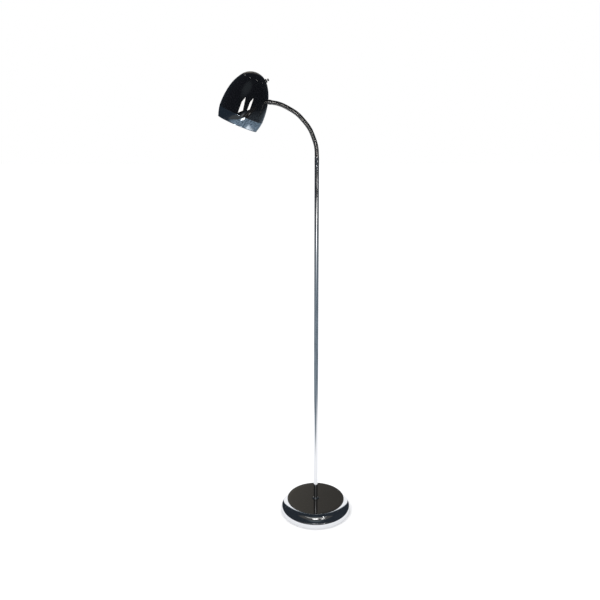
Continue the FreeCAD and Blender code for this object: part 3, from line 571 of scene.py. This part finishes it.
# %% The shade's outline
SHADE_TILT = math.radians(23.4)
MOUTH = Vector((-244.892, 0.0, 1357.430)) * MM
WIDEST_RADIUS, WIDEST_HEIGHT = 70.3, 38.8
SIDE_RADIUS, SHOULDER_RADIUS = 240.0, 131.0
SIDE_CENTRE = (WIDEST_RADIUS - SIDE_RADIUS, WIDEST_HEIGHT)
SIDE_ANGLE, CROWN_ANGLE = 13.1, 36.8


def on_arc(centre, radius, degrees):
    angle = math.radians(degrees)
    return centre[0] + radius * math.cos(angle), centre[1] + radius * math.sin(angle)


def sweep_arc(centre, radius, low, high, steps):
    return [on_arc(centre, radius, low + (high - low) * k / steps) for k in range(steps + 1)]


side_end = on_arc(SIDE_CENTRE, SIDE_RADIUS, SIDE_ANGLE)
SHOULDER_CENTRE = on_arc(side_end, -SHOULDER_RADIUS, SIDE_ANGLE)
crown_start = on_arc(SHOULDER_CENTRE, SHOULDER_RADIUS, CROWN_ANGLE)
CROWN_RADIUS = crown_start[0] / math.cos(math.radians(CROWN_ANGLE))
CROWN_CENTRE = (0.0, crown_start[1] - CROWN_RADIUS * math.sin(math.radians(CROWN_ANGLE)))
CREASE_HEIGHT = 31.0


def dome_line(inset, low):
    """The dome's outline at a depth under its skin, from the height low up to the crown."""
    start = math.degrees(math.asin((low - SIDE_CENTRE[1]) / (SIDE_RADIUS - inset)))
    return (sweep_arc(SIDE_CENTRE, SIDE_RADIUS - inset, start, SIDE_ANGLE, 10)
            + sweep_arc(SHOULDER_CENTRE, SHOULDER_RADIUS - inset, SIDE_ANGLE, CROWN_ANGLE, 14)[1:]
            + sweep_arc(CROWN_CENTRE, CROWN_RADIUS - inset, CROWN_ANGLE, 90, 24)[1:])


def tilt_into_place(piece):
    """Puts a piece drawn upright about the shade's axis where the CAD's shade is."""
    clear_selection()
    bpy.context.view_layer.objects.active = piece
    piece.select_set(True)
    piece.matrix_world = Matrix.Translation(MOUTH) @ Matrix.Rotation(SHADE_TILT, 4, "Y")
    bpy.ops.object.transform_apply(location=True, rotation=True, scale=True)
    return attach(piece, "head")


# %% Vent cutter
def vent_cutter():
    """Twelve short rods through the crown, as one object."""
    clear_selection()
    rods = []
    for k in range(12):
        angle = math.radians(15 + 30 * k)
        lean = Euler((0, math.radians(90 - CROWN_ANGLE), angle))
        middle = Matrix.Rotation(angle, 3, "Z") @ Vector(
            (CROWN_RADIUS * math.cos(math.radians(CROWN_ANGLE)), 0,
             CROWN_CENTRE[1] + CROWN_RADIUS * math.sin(math.radians(CROWN_ANGLE))))
        bpy.ops.mesh.primitive_cylinder_add(vertices=24, radius=2.4 * MM, depth=12 * MM,
                                            location=middle * MM, rotation=lean)
        rods.append(bpy.context.object)
    for rod in rods:
        rod.select_set(True)
    bpy.ops.object.join()
    return bpy.context.object


def punch(piece, cutter):
    cut = piece.modifiers.new("vents", "BOOLEAN")
    cut.object = cutter
    cut.operation = "DIFFERENCE"
    cut.solver = "EXACT"
    clear_selection()
    bpy.context.view_layer.objects.active = piece
    piece.select_set(True)
    bpy.ops.object.modifier_apply(modifier=cut.name)
    bpy.ops.object.shade_smooth_by_angle(angle=math.radians(32))


cutter = vent_cutter()

# %% Dome and lining
outer = dome_line(0.2, CREASE_HEIGHT + 0.4)
inner = dome_line(0.9, CREASE_HEIGHT + 0.2)
lip_radius = outer[0][0]
dome_outline = [(lip_radius - 0.35, CREASE_HEIGHT)] + outer + inner[::-1]
dome_outline += [(inner[0][0], CREASE_HEIGHT)]
dome_skin = lathe("dome_skin", dome_outline, shade_lacquer, 160)
punch(dome_skin, cutter)
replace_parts(tilt_into_place(dome_skin), "shade_shell")

lining_outline = dome_line(0.95, CREASE_HEIGHT + 8) + dome_line(1.15, CREASE_HEIGHT + 8)[::-1]
lining = lathe("shade_lining", lining_outline, white_lining, 128)
punch(lining, cutter)
tilt_into_place(lining)
clear_selection()
bpy.data.objects.remove(cutter)

# %% [markdown]
# ## The mouth band
# The band carries the dome's line on to the mouth, with a slight bulge of its own, and is rolled into
# a bead at the edge. A rolled bead is round, so it catches a line of light all the way round.

# %% Band
crease_radius = WIDEST_RADIUS - (CREASE_HEIGHT - WIDEST_HEIGHT) ** 2 / (2 * SIDE_RADIUS)
band_top = (crease_radius - 0.5, CREASE_HEIGHT - 0.2)
tongue = crease_radius - 1.1
bead_outline = [(61.5, 0.7), (61.9, 0.3), (62.3, 0.2)] + bow((62.3, 0.2), (62.9, 2.2), 1.15, 1, 8)
band_outline = bead_outline + bow((62.9, 2.2), band_top, 120.0, 1, 16)
band_outline += [(tongue, band_top[1]), (tongue, CREASE_HEIGHT + 7), (tongue - 0.9, CREASE_HEIGHT + 7),
                 (tongue - 0.9, band_top[1] - 1)]
band_outline += bow((tongue - 0.9, band_top[1] - 1), (62.2, 2.2), 120.0, -1, 12) + [(61.5, 1.1)]
band_skin = lathe("band_skin", band_outline, band_chrome, 160)
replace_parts(tilt_into_place(band_skin), "shade_band")

# %% [markdown]
# ## Studio
# The photograph has a white ground that runs away to nothing. The lamp's mirrors tell what stood
# around it: a white sheet on the floor, half a metre deep in front of the foot, a grey-brown wall
# behind, a dark room on the camera's side, and two tall windows there that show in the black lacquer.
# Light Path keeps these apart: the camera sees only white, mirrors see the room, and all else is lit
# by plain soft light. The windows would also show in the foot and the pole as white blobs, so a dark
# board hangs between them and the foot. Two small lights and a dim strip of sky make the foot's own
# glints instead.

# %% Floor
clear_selection()
bpy.ops.mesh.primitive_plane_add(size=1)
floor = bpy.context.object
floor.name = "floor"
floor.scale = (24, 24, 1)
bpy.ops.object.transform_apply(location=True, rotation=True, scale=True)


def step_up(finish, value, low, high, top=1.0):
    """A soft step from 0 at low to top at high."""
    return finish.node("ShaderNodeMapRange", {"interpolation_type": "SMOOTHSTEP"},
                       {"Value": value, "From Min": low, "From Max": high, "To Max": top})


def floor_finish():
    """White to the camera; mirrors see a white sheet, dark boards beyond it and a bright patch."""
    finish = Finish("white_floor")
    camera_ray = finish.node("ShaderNodeLightPath", out="Is Camera Ray")
    glossy_ray = finish.node("ShaderNodeLightPath", out="Is Glossy Ray")
    across = finish.along("X")
    aside = across.math("ABSOLUTE", across)
    front = 0.0 - finish.along("Y")
    skewed = front - 0.2 * across
    sheet = (1.0 - step_up(finish, skewed, 0.32, 0.64)) * (1.0 - step_up(finish, aside, 0.6, 1.0))
    sheet = sheet * (1.0 - step_up(finish, 0.0 - front, 0.8, 1.3))
    boards = finish.noise(3.2, 5.0, 0.65)
    beyond = finish.mix(step_up(finish, boards, 0.36, 0.62), (0.06, 0.08, 0.10), (0.28, 0.34, 0.39))
    beyond = finish.mix(step_up(finish, aside, 1.6, 5.0), beyond, (0.03, 0.036, 0.045))
    mirrored = finish.mix(sheet, beyond, (0.93, 0.93, 0.93))
    colour = finish.mix(glossy_ray, (0.93, 0.93, 0.93), mirrored)
    ground = finish.node("ShaderNodeBsdfDiffuse", {}, {"Color": colour})
    patch = step_up(finish, front, 2.4, 4.8) * (1.0 - step_up(finish, front, 6.2, 11.0))
    patch = patch * (1.0 - step_up(finish, aside, 1.4, 2.4))
    shown = 0.24 * camera_ray + (0.9 * patch + 0.12 * sheet) * glossy_ray
    glow = finish.node("ShaderNodeEmission", {}, {"Color": (1, 1, 1, 1), "Strength": shown})
    finish.output(finish.node("ShaderNodeAddShader", {}, {0: ground, 1: glow}))
    return finish.material


wear(floor, floor_finish())


# %% Room
def room():
    world = bpy.data.worlds.new("studio")
    bpy.context.scene.world = world
    world.use_nodes = True
    finish = Finish("studio", world)
    way = finish.node("ShaderNodeTexCoord", out="Generated")
    right = finish.node("ShaderNodeSeparateXYZ", {}, {0: way}, out="X")
    ahead = finish.node("ShaderNodeSeparateXYZ", {}, {0: way}, out="Y")
    upward = finish.node("ShaderNodeSeparateXYZ", {}, {0: way}, out="Z")
    camera_ray = finish.node("ShaderNodeLightPath", out="Is Camera Ray")
    glossy_ray = finish.node("ShaderNodeLightPath", out="Is Glossy Ray")
    behind = step_up(finish, upward * 0.559 + ahead * 0.829, 0.93, 0.985)
    glow = step_up(finish, upward * 0.70 - ahead * 0.71, 0.88, 1.0, 0.12)
    dark = finish.mix(glow, (0.020, 0.026, 0.034), (0.8, 0.95, 1.0))
    wall = finish.mix(step_up(finish, right, -0.07, 0.05), (0.34, 0.32, 0.28), (0.20, 0.19, 0.175))
    mirrored = finish.mix(behind, dark, wall)
    plain = finish.mix(glossy_ray, (0.90, 0.905, 0.92), mirrored)
    seen = finish.mix(camera_ray, plain, (1.0, 1.0, 1.0))
    background = finish.node("ShaderNodeBackground", {}, {"Color": seen, "Strength": 1.0})
    end = finish.sheet.nodes.new("ShaderNodeOutputWorld")
    finish.sheet.links.new(background.socket, end.inputs["Surface"])


room()


# %% Windows
def bright_plate(name, corners, strength):
    """A flat bright shape that only mirrors see at full strength; its corners are places."""
    clear_selection()
    bpy.ops.mesh.primitive_circle_add(vertices=len(corners), radius=0.5, fill_type="NGON")
    plate = bpy.context.object
    plate.name = name
    starts = [v.co.copy() for v in plate.data.vertices]
    for number, (start, corner) in enumerate(zip(starts, corners)):
        bpy.ops.object.mode_set(mode="EDIT")
        bpy.ops.mesh.select_all(action="DESELECT")
        bpy.ops.object.mode_set(mode="OBJECT")
        plate.data.vertices[number].select = True
        bpy.ops.object.mode_set(mode="EDIT")
        bpy.ops.transform.translate(value=tuple(Vector(corner) - start))
    bpy.ops.object.mode_set(mode="OBJECT")
    finish = Finish(name)
    glossy_ray = finish.node("ShaderNodeLightPath", out="Is Glossy Ray")
    light = finish.node("ShaderNodeEmission", {}, {"Color": (1.0, 0.99, 0.97, 1),
                                                   "Strength": strength * glossy_ray})
    finish.output(light)
    wear(plate, finish.material)
    plate.visible_camera = False
    plate.visible_diffuse = False
    return plate


def seen_from(centre, distance, corners):
    """Places on an upright plane in front of centre, from (azimuth, elevation) in degrees."""
    places = []
    for azimuth, elevation in corners:
        a, e = math.radians(azimuth), math.radians(elevation)
        places.append(Vector(centre) + distance * Vector((math.tan(a), -1.0, math.tan(e) / math.cos(a))))
    return places


SHADE_FRONT = (-0.25, -0.066, 1.395)
FOOT_FRONT = (0.0, -0.115, 0.035)
WINDOW_DISTANCE, WINDOW_STRENGTH = 2.0, 10.0
FOOT_LIGHT_DISTANCE, FOOT_LIGHT_STRENGTH = 0.9, 2.2
for name, corners in (("window_left", [(-12, 0), (7, -2), (5, 21), (-7, 17)]),
                      ("window_right", [(26, -7), (37, -8), (43, 8), (31, 5)])):
    bright_plate(name, seen_from(SHADE_FRONT, WINDOW_DISTANCE, corners), WINDOW_STRENGTH)
for name, corners in (("foot_light_left", [(-14, 38), (9, 37), (12, 43), (-8, 45)]),
                      ("foot_light_right", [(24, 38), (40, 39), (36, 43), (26, 43)])):
    bright_plate(name, seen_from(FOOT_FRONT, FOOT_LIGHT_DISTANCE, corners), FOOT_LIGHT_STRENGTH)
sky_corners = [(-42, 24), (44, 24), (30, 36), (-26, 36)]
bright_plate("sky_strip", seen_from(FOOT_FRONT, 1.2, sky_corners), 0.42)
ceiling_board = bright_plate("dark_board", [(-1.8, -0.8, 1.0), (1.8, -0.8, 1.0), (1.8, -1.9, 1.0),
                                            (-1.8, -1.9, 1.0)], 0.07)
ceiling_board.visible_shadow = False

# %% Soft lamp
bpy.ops.object.light_add(type="AREA", location=(-1.6, -1.6, 2.6))
lamp = bpy.context.object
lamp.name = "soft_lamp"
lamp.data.shape = "RECTANGLE"
lamp.data.size, lamp.data.size_y = 1.4, 1.4
lamp.data.energy = 22
lamp.rotation_euler = (Vector((-0.1, 0, 0.7)) - lamp.location).to_track_quat("-Z", "Y").to_euler()
lamp.visible_glossy = False
